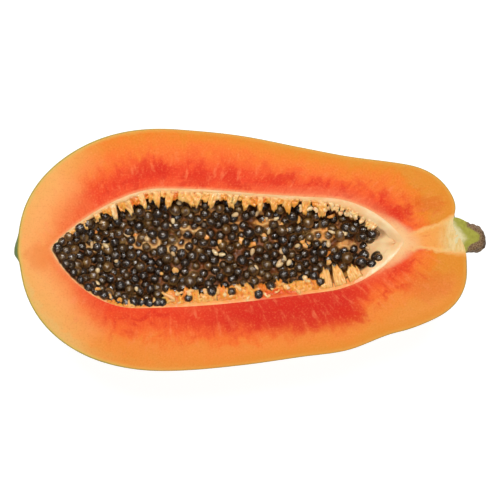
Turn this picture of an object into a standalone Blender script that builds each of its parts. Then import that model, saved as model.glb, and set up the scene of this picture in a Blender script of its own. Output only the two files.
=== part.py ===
"""A papaya half, cut lengthwise, lying on its back with its seeds in it and a stub of its stem.

Metres, +Z up. The cut face is level and faces up, +X points to the stem end, and the origin lies under
the middle of the half, on the surface that it rests on. The tables are in millimetres, and heights in
them are counted from the cut face.
"""

import math
from dataclasses import dataclass

import bmesh
import bpy
import numpy as np

MM = 0.001


@dataclass(frozen=True)
class Form:
    """A body that is lofted along X, with a long axis that lies in the cut face.

    The stations give the half-widths to the two sides of the axis and the depth under it, before the
    two ends are rounded. Each rounding is (length, fullness, bluntness) at the blossom end and the
    same at the stem end: a quarter of a superellipse, where a bluntness near 1 makes a point.
    """

    ends: tuple
    axis: tuple
    stations: tuple
    far_side: tuple
    near_side: tuple
    depth: tuple
    far_rounding: tuple
    near_rounding: tuple
    depth_rounding: tuple
    rows: int
    columns: int


# --- The fruit and its seed cavity ----------------------------------------------------------------
FRUIT = Form(
    ends=(-137.2, 128.8),
    axis=(6.0, -13.0),
    stations=(-137.2, -85.0, -50.0, -5.0, 30.0, 58.0, 86.0, 104.0, 128.8),
    far_side=(69.0, 72.4, 72.5, 71.3, 67.0, 63.7, 62.0, 60.5, 60.5),
    near_side=(71.0, 72.5, 71.7, 65.1, 57.7, 51.6, 39.4, 34.8, 33.7),
    depth=(67.0, 69.4, 70.6, 71.4, 67.9, 63.9, 57.9, 53.1, 49.0),
    far_rounding=((95.0, 2.05, 2.1), (38.0, 2.6, 2.4)),
    near_rounding=((84.0, 2.4, 2.65), (40.0, 2.0, 2.1)),
    depth_rounding=((95.0, 2.2, 2.2), (48.0, 2.2, 2.2)),
    rows=52,
    columns=40,
)
CAVITY = Form(
    ends=(-118.3, 91.5),
    axis=(1.0, 4.5),
    stations=(-118.3, -60.0, -30.0, 10.0, 50.0, 91.5),
    far_side=(34.5, 34.5, 33.5, 29.8, 26.9, 25.0),
    near_side=(36.0, 36.4, 35.6, 32.4, 27.9, 24.5),
    depth=(33.0, 35.0, 36.0, 34.0, 31.0, 28.0),
    far_rounding=((64.0, 1.6, 1.14), (46.0, 2.0, 1.3)),
    near_rounding=((54.0, 2.2, 1.2), (46.0, 2.0, 1.28)),
    depth_rounding=((70.0, 2.0, 1.2), (46.0, 2.0, 1.8)),
    rows=38,
    columns=28,
)
FLAT_SPOT = 0.9  # how far the weight presses the round back flat
CUT_HEIGHT = max(FRUIT.depth) - FLAT_SPOT  # the cut face above what the half rests on
LOBES, LOBE_SWELL = 5, 0.013  # faint ribs that run the length of the fruit's back
# The blossom's scar bulges out under the cut, and the fruit is drawn in where its stem joins it:
# how far, where across and under the cut, how wide to the far and near side, and how high.
BLOSSOM_SCAR = (4.3, -1.8, 8.5, 8.0, 3.6, 5.0)
STEM_PIT = (-6.0, 14.5, 0.0, 6.5, 6.5, 8.0)

# --- What lies in the cavity ----------------------------------------------------------------------
GAP = 0.3  # between touching pieces
LINING = 1.9  # the pale placenta that lines the cavity
HEAP_SINK_MIDDLE = 10.5  # how far the seeds lie under the cut, in the middle
HEAP_SINK_FAR, HEAP_SINK_NEAR = 6.0, 2.0  # and against the two sides
SEED_BUMP, SEED_PITCH = 1.3, 9.0  # the seeds' relief on top of the heap, and its spacing
SEED_JUMBLE = 1.3  # how far the bumps stray from even rows
HEAP_LEAST = 0.6  # the heap's thickness where it runs out
HEAP_ROWS, HEAP_BED_COLUMNS, HEAP_TOP_COLUMNS = 58, 11, 15

# --- The stem: (place along, place across, drop under the cut, radius) ----------------------------
STEM_STATIONS = (
    (116.0, 8.0, 0.5, 10.6),
    (121.5, 8.0, 0.6, 12.0),
    (126.0, 7.5, 2.4, 9.9),
    (130.0, 6.9, 5.0, 8.3),
    (134.0, 6.6, 7.4, 8.4),
    (137.2, 7.0, 8.6, 7.6),
    (139.4, 7.6, 9.0, 5.0),
    (140.0, 7.8, 9.1, 1.8),
)

# --- Colour and roughness -------------------------------------------------------------------------
FLESH = ((0.90, 0.28, 0.08, 1), 0.35)
PLACENTA = ((0.92, 0.60, 0.33, 1), 0.4)
SEEDS = ((0.035, 0.028, 0.020, 1), 0.25)
STEM = ((0.33, 0.34, 0.10, 1), 0.6)


def clear_scene():
    for thing in list(bpy.data.objects):
        bpy.data.objects.remove(thing)


def collection(name):
    made = bpy.data.collections.new(name)
    bpy.context.scene.collection.children.link(made)
    return made


def material(name, finish):
    colour, roughness = finish
    made = bpy.data.materials.new(name)
    made.use_nodes = True
    shader = made.node_tree.nodes["Principled BSDF"]
    shader.inputs["Base Color"].default_value = colour
    shader.inputs["Roughness"].default_value = roughness
    shader.inputs["Metallic"].default_value = 0.0
    made.diffuse_color = colour
    return made


def smooth_through(x, stations, values):
    """A curve through the stations' values: cubic pieces whose slopes follow the neighbours."""
    stations, values = np.array(stations), np.array(values)
    slopes = np.gradient(values, stations)
    i = np.clip(np.searchsorted(stations, x) - 1, 0, len(stations) - 2)
    span = stations[i + 1] - stations[i]
    t = (x - stations[i]) / span
    return (
        (2 * t**3 - 3 * t**2 + 1) * values[i]
        + (t**3 - 2 * t**2 + t) * span * slopes[i]
        + (3 * t**2 - 2 * t**3) * values[i + 1]
        + (t**3 - t**2) * span * slopes[i + 1]
    )


def rounded_end(distance, length, fullness, bluntness):
    """A quarter of a superellipse: 0 at an end, and 1 from that length on."""
    inside = np.clip(distance / length, 0.0, 1.0)
    return (1 - (1 - inside) ** fullness) ** (1 / bluntness)


def section(form, x, grow=0.0):
    """(far edge, near edge, depth) of a form at x, when it is grown by grow on all sides."""
    start, end = form.ends[0] - grow, form.ends[1] + grow

    def reach(values, rounding):
        body = smooth_through(np.clip(x, *form.ends), form.stations, values) + grow
        return body * rounded_end(x - start, *rounding[0]) * rounded_end(end - x, *rounding[1])

    axis = np.interp(x, form.ends, form.axis)
    far = axis + reach(form.far_side, form.far_rounding)
    near = axis - reach(form.near_side, form.near_rounding)
    return far, near, reach(form.depth, form.depth_rounding)


def places_along(form, grow, rows):
    """Places along a form that crowd towards its two ends, where it turns in."""
    start, end = form.ends[0] - grow, form.ends[1] + grow
    share = (1 - np.cos(np.linspace(0, math.pi, rows + 1))) / 2
    return start + (end - start) * share


def ring(far, near, depth, turns, swell=0.0):
    """(y, z) round a section: an ellipse that spans the two edges, with ribs on its back."""
    ribs = 1 + swell * np.sin(turns) ** 2 * np.cos(LOBES * (turns - math.pi / 2))
    across = (far + near) / 2 + (far - near) / 2 * np.cos(turns) * ribs
    return across, -depth * np.sin(turns) * ribs


def with_marks(x, y, z):
    """Pushes the fruit's ends out at the blossom's scar and in at the stem, as soft bumps."""
    places = np.full(len(y), x)
    for end, (out, across, under, far_width, near_width, height) in zip(FRUIT.ends, (BLOSSOM_SCAR, STEM_PIT)):
        width = np.where(y > across, far_width, near_width)
        bump = np.exp(-(((y - across) / width) ** 2 + ((z + under) / height) ** 2) / 2)
        nearness = np.clip(2 * x / end - 1, 0, 1)
        places += np.sign(end) * out * bump * nearness
    return places


def loft(name, rings, into, surface=None):
    """Skins rings of (x, y, z) points. The first and the last ring shrink to a point."""
    mesh = bmesh.new()

    def vertex(point):
        return mesh.verts.new((point + (0, 0, CUT_HEIGHT)) * MM)

    tip, tail = vertex(rings[0].mean(axis=0)), vertex(rings[-1].mean(axis=0))
    rows = [[vertex(point) for point in row] for row in rings[1:-1]]
    columns = len(rings[0])
    for c in range(columns):
        after = (c + 1) % columns
        mesh.faces.new((tip, rows[0][after], rows[0][c]))
        mesh.faces.new((tail, rows[-1][c], rows[-1][after]))
        for one, other in zip(rows, rows[1:]):
            mesh.faces.new((one[c], one[after], other[after], other[c]))
    bmesh.ops.recalc_face_normals(mesh, faces=mesh.faces)
    data = bpy.data.meshes.new(name)
    mesh.to_mesh(data)
    mesh.free()
    data.shade_smooth()
    if surface:
        data.materials.append(surface)
    made = bpy.data.objects.new(name, data)
    into.objects.link(made)
    return made


def whole(name, form, grow, into, surface=None):
    """A form with no cut: the cavity as a closed body, or the fruit with its ribs and marks."""
    turns = np.arange(form.columns) * 2 * math.pi / form.columns
    is_fruit = form is FRUIT
    rings = []
    for x in places_along(form, grow, form.rows):
        y, z = ring(*section(form, x, grow), turns, LOBE_SWELL if is_fruit else 0.0)
        places = with_marks(x, y, z) if is_fruit else np.full(form.columns, x)
        rings.append(np.column_stack((places, y, z)))
    return loft(name, rings, into, surface)


def block(name, low, high, into):
    """A box between two corners, in millimetres."""
    low, high = np.array(low), np.array(high)
    bpy.ops.mesh.primitive_cube_add(size=1, location=(low + high) / 2 * MM)
    made = bpy.context.object
    made.name = name
    made.scale = (high - low) * MM
    bpy.ops.object.transform_apply(location=False, rotation=False, scale=True)
    for holder in list(made.users_collection):
        holder.objects.unlink(made)
    into.objects.link(made)
    return made


def cut(piece, *cutters):
    for cutter in cutters:
        cutter.hide_render = True
        cutter.display_type = "WIRE"
        difference = piece.modifiers.new("cut_by_" + cutter.name, "BOOLEAN")
        difference.operation = "DIFFERENCE"
        difference.object = cutter


def heap_top(x, y, far, near):
    """Height of the seeds: a shallow trough, lowest in the middle, with seed-sized bumps."""
    middle, half = (far + near) / 2, max((far - near) / 2, 0.1)
    across = np.clip((y - middle) / half, -1, 1)
    side = HEAP_SINK_NEAR + (HEAP_SINK_FAR - HEAP_SINK_NEAR) * (across + 1) / 2
    sink = side * across**2 + HEAP_SINK_MIDDLE * (1 - across**2)
    u, v = x * 2 * math.pi / SEED_PITCH, y * 2 * math.pi / SEED_PITCH
    bump = np.sin(u + SEED_JUMBLE * np.sin(v / 2.7)) * np.cos(v + SEED_JUMBLE * np.sin(u / 3.1))
    return -sink + SEED_BUMP * bump * (1 - across**2)


def seed_heap(into, surface):
    """The seeds as one solid that fills the lined cavity up to their uneven top."""
    grow = -(LINING + 2 * GAP)
    steepest = 0.95
    rings = []
    for x in places_along(CAVITY, grow - HEAP_SINK_NEAR, HEAP_ROWS):
        far, near, depth = section(CAVITY, x, grow)
        # The bed runs between the two places where the wall is as deep as the top of the heap.
        first = math.asin(min(-heap_top(x, far, far, near) / depth, steepest))
        last = math.pi - math.asin(min(-heap_top(x, near, far, near) / depth, steepest))
        bed_y, bed_z = ring(far, near, depth, np.linspace(first, last, HEAP_BED_COLUMNS + 1))
        top_y = np.linspace(bed_y[-1], bed_y[0], HEAP_TOP_COLUMNS + 1)[1:-1]
        least = np.interp(-top_y, -bed_y, bed_z) + HEAP_LEAST
        top_z = np.maximum(heap_top(x, top_y, far, near), least)
        y, z = np.concatenate((bed_y, top_y)), np.concatenate((bed_z, top_z))
        rings.append(np.column_stack((np.full(len(y), x), y, z)))
    return loft("seed_heap", rings, into, surface)


def stem(into, surface):
    """A drooping tube whose radius changes along it, made a mesh so that it can be cut."""
    line = bpy.data.curves.new("stem_line", "CURVE")
    line.dimensions = "3D"
    line.bevel_depth = MM
    line.bevel_resolution = 4
    line.use_fill_caps = True
    spline = line.splines.new("NURBS")
    spline.points.add(len(STEM_STATIONS) - 1)
    spline.order_u = 3
    spline.resolution_u = 3
    spline.use_endpoint_u = True
    for point, (along, across, drop, radius) in zip(spline.points, STEM_STATIONS):
        point.co = (along * MM, across * MM, (CUT_HEIGHT - drop) * MM, 1)
        point.radius = radius
    tube = bpy.data.objects.new("stem_tube", line)
    into.objects.link(tube)
    bpy.context.view_layer.update()
    graph = bpy.context.evaluated_depsgraph_get()
    data = bpy.data.meshes.new_from_object(tube.evaluated_get(graph))
    mesh = bmesh.new()
    mesh.from_mesh(data)
    bmesh.ops.remove_doubles(mesh, verts=mesh.verts, dist=0.01 * MM)
    bmesh.ops.recalc_face_normals(mesh, faces=mesh.faces)
    mesh.to_mesh(data)
    mesh.free()
    data.materials.clear()
    data.materials.append(surface)
    data.shade_smooth()
    made = bpy.data.objects.new("stem", data)
    made.matrix_world = tube.matrix_world
    into.objects.link(made)
    bpy.data.objects.remove(tube)
    return made


def main():
    clear_scene()
    parts, cutters = collection("papaya_half"), collection("cutters")
    far_off = 2 * max(FRUIT.ends)
    knife = block("knife", (-far_off, -far_off, CUT_HEIGHT), (far_off, far_off, far_off), cutters)
    table = block("table", (-far_off, -far_off, -far_off), (far_off, far_off, 0.0), cutters)
    cavity = whole("cavity", CAVITY, 0.0, cutters)
    hollow = whole("hollow", CAVITY, -(GAP + LINING), cutters)
    around_fruit = whole("around_fruit", FRUIT, GAP, cutters)

    cut(whole("flesh", FRUIT, 0.0, parts, material("papaya_flesh", FLESH)), knife, table, cavity)
    cut(whole("lining", CAVITY, -GAP, parts, material("placenta", PLACENTA)), hollow, knife)
    seed_heap(parts, material("papaya_seeds", SEEDS))
    cut(stem(parts, material("papaya_stem", STEM)), knife, around_fruit)


main()
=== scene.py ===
"""A papaya half with its seeds in it: the looks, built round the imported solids.

The forms are tables in millimetres. Their x runs from the blossom end to the stem end, y to the far side,
and z is counted from the cut face, which is level and faces up. add_piece() turns millimetres into the
frame's metres.
"""

import math
from dataclasses import dataclass, replace

import bmesh
import bpy
import numpy as np
from bpy.props import FloatProperty, FloatVectorProperty, IntProperty, PointerProperty
from bpy.types import Operator, Panel, PropertyGroup
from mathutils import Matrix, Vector


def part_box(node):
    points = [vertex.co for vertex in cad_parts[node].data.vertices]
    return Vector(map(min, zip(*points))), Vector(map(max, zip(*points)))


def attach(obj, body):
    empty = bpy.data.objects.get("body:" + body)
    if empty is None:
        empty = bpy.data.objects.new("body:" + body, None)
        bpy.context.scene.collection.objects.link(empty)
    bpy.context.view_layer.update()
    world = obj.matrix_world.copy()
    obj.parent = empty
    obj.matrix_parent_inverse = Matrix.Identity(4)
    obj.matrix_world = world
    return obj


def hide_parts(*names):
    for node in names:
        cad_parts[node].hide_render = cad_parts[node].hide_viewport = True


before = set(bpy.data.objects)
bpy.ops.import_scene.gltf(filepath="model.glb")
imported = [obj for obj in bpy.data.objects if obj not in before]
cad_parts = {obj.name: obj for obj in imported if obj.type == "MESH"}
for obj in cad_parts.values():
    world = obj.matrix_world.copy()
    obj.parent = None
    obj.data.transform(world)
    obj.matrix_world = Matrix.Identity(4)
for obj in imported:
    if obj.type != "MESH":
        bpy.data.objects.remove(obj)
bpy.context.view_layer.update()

bl_info = {
    "name": "Papaya Half",
    "version": (1, 0, 0),
    "blender": (4, 5, 0),
    "location": "3D View > Sidebar > Papaya",
    "description": "Builds a papaya half with its lining, seeds and stem",
    "category": "Add Mesh",
}

MM = 0.001
CUT_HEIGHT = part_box("flesh")[1].z / MM
BODY = "root"
FAR, NEAR = 1.0, -1.0


# --- Forms ---
@dataclass(frozen=True)
class Form:
    """A body that is lofted along x, with a long axis that lies in the cut face.

    The stations give the half-widths to the two sides of the axis and the depth under it, before the
    two ends are rounded. Each rounding is (length, fullness, bluntness) at the blossom end and the
    same at the stem end: a quarter of a superellipse, where a bluntness near 1 makes a point.
    """

    ends: tuple
    axis: tuple
    stations: tuple
    far_side: tuple
    near_side: tuple
    depth: tuple
    far_rounding: tuple
    near_rounding: tuple
    depth_rounding: tuple


FRUIT = Form(
    ends=(-137.2, 128.8),
    axis=(6.0, -13.0),
    stations=(-137.2, -85.0, -50.0, -5.0, 30.0, 58.0, 86.0, 104.0, 128.8),
    far_side=(69.0, 72.4, 72.5, 71.3, 67.0, 63.7, 62.0, 60.5, 60.5),
    near_side=(71.0, 72.5, 71.7, 65.1, 57.7, 51.6, 39.4, 34.8, 33.7),
    depth=(67.0, 69.4, 70.6, 71.4, 67.9, 63.9, 57.9, 53.1, 49.0),
    far_rounding=((95.0, 2.05, 2.1), (38.0, 2.6, 2.4)),
    near_rounding=((84.0, 2.4, 2.65), (40.0, 2.0, 2.1)),
    depth_rounding=((95.0, 2.2, 2.2), (48.0, 2.2, 2.2)),
)
CAVITY = Form(
    ends=(-118.3, 91.5),
    axis=(1.0, 4.5),
    stations=(-118.3, -60.0, -30.0, 10.0, 50.0, 91.5),
    far_side=(34.5, 34.5, 33.5, 29.8, 26.9, 25.0),
    near_side=(36.0, 36.4, 35.6, 32.4, 27.9, 24.5),
    depth=(33.0, 35.0, 36.0, 34.0, 31.0, 28.0),
    far_rounding=((64.0, 1.6, 1.14), (46.0, 2.0, 1.3)),
    near_rounding=((54.0, 2.2, 1.2), (46.0, 2.0, 1.28)),
    depth_rounding=((70.0, 2.0, 1.2), (46.0, 2.0, 1.8)),
)
# The lining's inner wall climbs gently to the stem end instead of dropping straight down.
HOLLOW = replace(CAVITY, depth_rounding=((70.0, 2.0, 1.2), (46.0, 1.25, 1.0)))
LOBES, LOBE_SWELL = 5, 0.013  # faint ribs that run the length of the back
# The blossom's scar bulges out under the cut, and the fruit is drawn in where its stem joins it:
# how far, where across and under the cut, how wide to the far and near side, and how high.
BLOSSOM_SCAR = (4.3, -1.8, 8.5, 8.0, 3.6, 5.0)
STEM_PIT = (-6.0, 14.5, 0.0, 6.5, 6.5, 8.0)
# The seeds lie in a shallow trough: how far they sink in the middle and against the two sides.
SINK_MIDDLE, SINK_FAR, SINK_NEAR = 10.5, 6.0, 2.0
# The stem: (place along, place across, drop under the cut, radius).
STEM_STATIONS = (
    (117.0, 8.0, 0.6, 10.9),
    (121.5, 8.0, 0.8, 11.4),
    (126.0, 7.5, 2.6, 9.9),
    (130.0, 6.9, 5.0, 8.6),
    (134.0, 6.7, 7.2, 8.3),
    (137.2, 7.1, 8.5, 7.2),
    (139.4, 7.6, 9.0, 4.6),
    (140.5, 7.8, 9.1, 0.0),
)


# --- Small helpers ---
def shade(red, green, blue):
    """A display colour, 0 to 255 a channel, as the linear RGBA that Blender's sockets take."""
    value = np.array((red, green, blue)) / 255
    linear = np.where(value <= 0.04045, value / 12.92, ((value + 0.055) / 1.055) ** 2.4)
    return (*(float(v) for v in linear), 1.0)


def rise(value, low, high):
    """0 up to low, 1 from high, and 3s^2 - 2s^3 between, with s the share of the way."""
    s = np.clip((value - low) / (high - low), 0, 1)
    return s * s * (3 - 2 * s)


def unit(vectors):
    """Each vector divided by its length."""
    return vectors / np.maximum(np.linalg.norm(vectors, axis=-1, keepdims=True), 1e-9)


def waves(points, size, seed, count=9):
    """Smooth noise, mostly within -1 to 1: a sum of sine waves in random directions.

    Their lengths are 0.7 to 1.6 times size, and their sum is divided by the square root of their count.
    """
    rng = np.random.default_rng(seed)
    directions = unit(rng.normal(size=(count, points.shape[-1])))
    lengths = size * rng.uniform(0.7, 1.6, count)
    angles = points @ (directions * (2 * math.pi / lengths)[:, None]).T
    return np.sin(angles + rng.uniform(0, 2 * math.pi, count)).sum(axis=-1) / math.sqrt(count)


def smooth_through(x, stations, values):
    """A curve through the stations' values: cubic pieces whose slopes follow the neighbours."""
    stations, values = np.array(stations), np.array(values)
    slopes = np.gradient(values, stations)
    i = np.clip(np.searchsorted(stations, x) - 1, 0, len(stations) - 2)
    span = stations[i + 1] - stations[i]
    t = (x - stations[i]) / span
    return (
        (2 * t**3 - 3 * t**2 + 1) * values[i]
        + (t**3 - 2 * t**2 + t) * span * slopes[i]
        + (3 * t**2 - 2 * t**3) * values[i + 1]
        + (t**3 - t**2) * span * slopes[i + 1]
    )


def rounded_end(distance, length, fullness, bluntness):
    """A quarter of a superellipse: 0 at an end, and 1 from that length on."""
    inside = np.clip(distance / length, 0.0, 1.0)
    return (1 - (1 - inside) ** fullness) ** (1 / bluntness)


def section(form, x, grow=0.0):
    """(far edge, near edge, depth) of a form at x, when it is grown by grow on all sides."""
    start, end = form.ends[0] - grow, form.ends[1] + grow

    def reach(values, rounding):
        body = smooth_through(np.clip(x, *form.ends), form.stations, values) + grow
        return body * rounded_end(x - start, *rounding[0]) * rounded_end(end - x, *rounding[1])

    axis = np.interp(x, form.ends, form.axis)
    far = axis + reach(form.far_side, form.far_rounding)
    near = axis - reach(form.near_side, form.near_rounding)
    return far, near, reach(form.depth, form.depth_rounding)


def turns(columns):
    """Even turns round the cut: 0 is the blossom tip, pi the stem tip, with the far side between."""
    return np.arange(columns) * 2 * math.pi / columns


def shell(form, turn, dip, grow=0.0, swell=0.0):
    """A form's lower half as x, y and z over turn and dip.

    x runs from tip to tip as (1 - cos turn) / 2. At each x the section is half an ellipse that spans the
    two edges: y goes with cos dip and z with -sin dip, from the edge at dip 0 to the keel at pi / 2.
    """
    start, end = form.ends[0] - grow, form.ends[1] + grow
    x = start + (end - start) * (1 - np.cos(turn)) / 2
    far, near, depth = section(form, x, grow)
    side = np.where(np.sin(turn) >= 0, FAR, NEAR)
    ribs = 1 + swell * np.sin(dip) ** 2 * np.cos(LOBES * (dip - math.pi / 2))
    y = (far + near) / 2 + side * (far - near) / 2 * np.cos(dip) * ribs
    return np.stack(np.broadcast_arrays(x, y, -depth * np.sin(dip) * ribs), axis=-1)


def even_turns(form, columns):
    """Turns whose places on the form's edge are the same way apart along it."""
    turn = turns(20 * columns)
    edge = shell(form, turn, np.zeros((1, 1)))[0]
    steps = np.linalg.norm(np.roll(edge, -1, axis=0) - edge, axis=-1)
    way = np.concatenate(([0], np.cumsum(steps)))
    return np.interp(np.arange(columns) * way[-1] / columns, way, np.append(turn, 2 * math.pi))


def with_marks(points):
    """Pushes the fruit's ends out at the blossom's scar and in at the stem, as soft bumps."""
    x, y, z = np.moveaxis(points, -1, 0)
    places = x.copy()
    marks = (BLOSSOM_SCAR, STEM_PIT)
    for end, (out, across, under, far_width, near_width, height) in zip(FRUIT.ends, marks):
        width = np.where(y > across, far_width, near_width)
        bump = np.exp(-(((y - across) / width) ** 2 + ((z + under) / height) ** 2) / 2)
        places += np.sign(end) * out * bump * np.clip(2 * x / end - 1, 0, 1)
    return np.stack((places, y, z), axis=-1)


def outward(line):
    """The level direction out of a closed line at each point: its tangent, turned by a right angle."""
    tangent = unit(np.roll(line, -1, axis=0) - np.roll(line, 1, axis=0))
    # The line runs clockwise seen from above, so out is to its left.
    return np.stack((-tangent[:, 1], tangent[:, 0]), axis=-1)


def crosswise(form, x, y, grow):
    """(place from -1 at a form's near edge to 1 at its far edge, depth of the form there)."""
    far, near, depth = section(form, x, grow)
    return np.clip((y - (far + near) / 2) / np.maximum((far - near) / 2, 0.1), -1, 1), depth


def hollow_floor(x, y):
    """Height of the hollow's wall under a place, from the half ellipse of its section there."""
    across, depth = crosswise(HOLLOW, x, y, -2.2)
    return -depth * np.sqrt(1 - across**2)


def seed_level(x, y):
    """Height of the seeds' top: a trough, deepest in the middle and higher against the near side."""
    across, _ = crosswise(CAVITY, x, y, -2.5)
    side = SINK_NEAR + (SINK_FAR - SINK_NEAR) * (across + 1) / 2
    return -(side * across**2 + SINK_MIDDLE * (1 - across**2))


# --- Meshes ---
def ring_faces(copies, rows, columns):
    """Quads of grids whose rows close into rings: (row, next row) x (column, next column) in each copy."""
    here = np.arange(copies * rows * columns).reshape(copies, rows, columns)
    after = np.roll(here, -1, axis=2)
    return np.stack((here[:, :-1], after[:, :-1], after[:, 1:], here[:, 1:]), axis=-1).reshape(-1, 4)


def add_piece(name, grids, finishes, values, replaced=None, face_finish=None):
    """Makes a piece from one grid or many grids of points in millimetres, and puts it on the frame.

    The last axes of grids are row, column and x, y, z, and each row closes into a ring. The values are
    attributes that its finishes read: each is spread over all points, and one with four axes is a
    vector. Points that fall together are merged, which closes seams and poles, and faces are turned
    outwards.
    """
    grids = grids.reshape(-1, *grids.shape[-3:])
    points = grids.reshape(-1, 3)
    faces = ring_faces(*grids.shape[:3])
    mesh = bpy.data.meshes.new(name)
    mesh.from_pydata(((points + (0, 0, CUT_HEIGHT)) * MM).tolist(), [], faces.tolist())
    if face_finish is not None:
        mesh.polygons.foreach_set("material_index", face_finish.astype(np.int32))
    for key, array in values.items():
        kind, field, shape = "FLOAT", "value", grids.shape[:3]
        if array.ndim == 4:
            kind, field, shape = "FLOAT_VECTOR", "vector", grids.shape
        spread = np.ascontiguousarray(np.broadcast_to(array, shape), dtype=np.float32)
        mesh.attributes.new(key, kind, "POINT").data.foreach_set(field, spread.ravel())
    mesh.update(calc_edges=True)
    for finish in finishes:
        mesh.materials.append(finish.material)

    closed = bmesh.new()
    closed.from_mesh(mesh)
    bmesh.ops.remove_doubles(closed, verts=closed.verts, dist=1e-6)
    bmesh.ops.dissolve_degenerate(closed, edges=closed.edges, dist=1e-7)
    bmesh.ops.recalc_face_normals(closed, faces=closed.faces)
    loose = [edge for edge in closed.edges if not edge.is_manifold]
    closed.to_mesh(mesh)
    closed.free()
    if loose:
        raise RuntimeError(f"{name} has {len(loose)} edges that don't join two faces")
    mesh.shade_smooth()
    piece = bpy.data.objects.new(name, mesh)
    bpy.context.scene.collection.objects.link(piece)
    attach(piece, BODY)
    if replaced:
        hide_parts(replaced)


def sweep(paths, half_widths, half_heights, sides):
    """Tubes along many paths at once: at each point an ellipse square to the path, its width kept level.

    The angle of a point on the ellipse runs evenly, so it lies at width times cos and height times sin.
    """
    along = unit(np.gradient(paths, axis=1))
    level = unit(np.cross(along, (0.0, 0.0, 1.0)))
    upright = np.cross(level, along)
    angle = turns(sides)
    wide = half_widths[..., None] * np.cos(angle)
    high = half_heights[..., None] * np.sin(angle)
    return paths[:, :, None] + level[:, :, None] * wide[..., None] + upright[:, :, None] * high[..., None]


def ovoids(rng, centres, sizes, tilt, blunt):
    """Egg shapes at their centres: a ball's grid, thinned towards one end by blunt, sized and turned.

    Each has any heading round the upright, and its long axis is tipped by up to tilt.
    """
    polar = np.linspace(0, math.pi, SEED_RINGS + 1)[:, None]
    angle = turns(SEED_SIDES)
    thin = np.sin(polar) * (1 - blunt * np.cos(polar))
    ball = np.stack(np.broadcast_arrays(np.cos(polar), thin * np.cos(angle), thin * np.sin(angle)), axis=-1)
    heading = rng.uniform(0, 2 * math.pi, len(centres))
    tip = rng.uniform(-tilt, tilt, len(centres))
    long = np.stack((np.cos(heading) * np.cos(tip), np.sin(heading) * np.cos(tip), np.sin(tip)), -1)
    side = unit(np.cross((0.0, 0.0, 1.0), long))
    rotations = np.stack((long, side, np.cross(long, side)), axis=-1)
    sized = ball[None] * sizes[:, None, None, :]
    return np.einsum("nij,nrsj->nrsi", rotations, sized) + centres[:, None, None, :]


def drawn_sizes(rng, count, *pairs):
    """Random numbers in columns, one for each (least, most) pair."""
    return np.column_stack([rng.uniform(*pair, count) for pair in pairs])


# --- Materials ---
def maths(operation, reflected=False):
    """The method of an operator: one Math node on the wire and the other side, in their order."""

    def method(wire, other):
        pair = (other, wire) if reflected else (wire, other)
        return wire.calculate(operation, *pair)

    return method


class Wire:
    """An output of a node. Arithmetic on wires adds Math nodes, and either side may be a number."""

    def __init__(self, nodes, socket):
        self.nodes = nodes
        self.socket = socket

    def calculate(self, operation, *values):
        return self.nodes.node("ShaderNodeMath", {"operation": operation}, dict(enumerate(values)))

    __add__ = maths("ADD")
    __radd__ = maths("ADD", reflected=True)
    __sub__ = maths("SUBTRACT")
    __rsub__ = maths("SUBTRACT", reflected=True)
    __mul__ = maths("MULTIPLY")
    __rmul__ = maths("MULTIPLY", reflected=True)
    __truediv__ = maths("DIVIDE")

    def __abs__(self):
        return self.calculate("ABSOLUTE", self)

    def rise(self, low, high, kind="SMOOTHSTEP"):
        """0 up to low and 1 from high, smoothly. Where low is the larger it falls instead."""
        return self.nodes.node("ShaderNodeMapRange", {"interpolation_type": kind}, {0: self, 1: low, 2: high})


class Nodes:
    """A node tree, with the one method that adds to it."""

    def __init__(self, tree):
        self.tree = tree

    def node(self, kind, settings=None, sockets=None, output=0):
        """Adds a node: its settings first, with a ramp's stops among them, then its values and links."""
        made = self.tree.nodes.new(kind)
        for key, value in (settings or {}).items():
            if key == "stops":
                self.fill_ramp(made.color_ramp, value)
            else:
                setattr(made, key, value)
        for key, value in (sockets or {}).items():
            self.feed(made.inputs[key], value)
        return Wire(self, made.outputs[output])

    def feed(self, socket, value):
        """Links a wire to a socket, or sets a number, vector or colour on it."""
        if isinstance(value, Wire):
            self.tree.links.new(value.socket, socket)
        else:
            socket.default_value = value

    @staticmethod
    def fill_ramp(ramp, stops):
        """Puts the stops, each (position, red, green, blue) in display values, into a colour ramp."""
        while len(ramp.elements) < len(stops):
            ramp.elements.new(1.0)
        for element, (position, *colour) in zip(ramp.elements, stops):
            element.position = position
            element.color = shade(*colour)


def socket_colour(colour):
    """A wire as it is, and a setting's four values or three display values as linear RGBA."""
    if isinstance(colour, Wire):
        return colour
    return tuple(colour) if len(colour) == 4 else shade(*colour)


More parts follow.
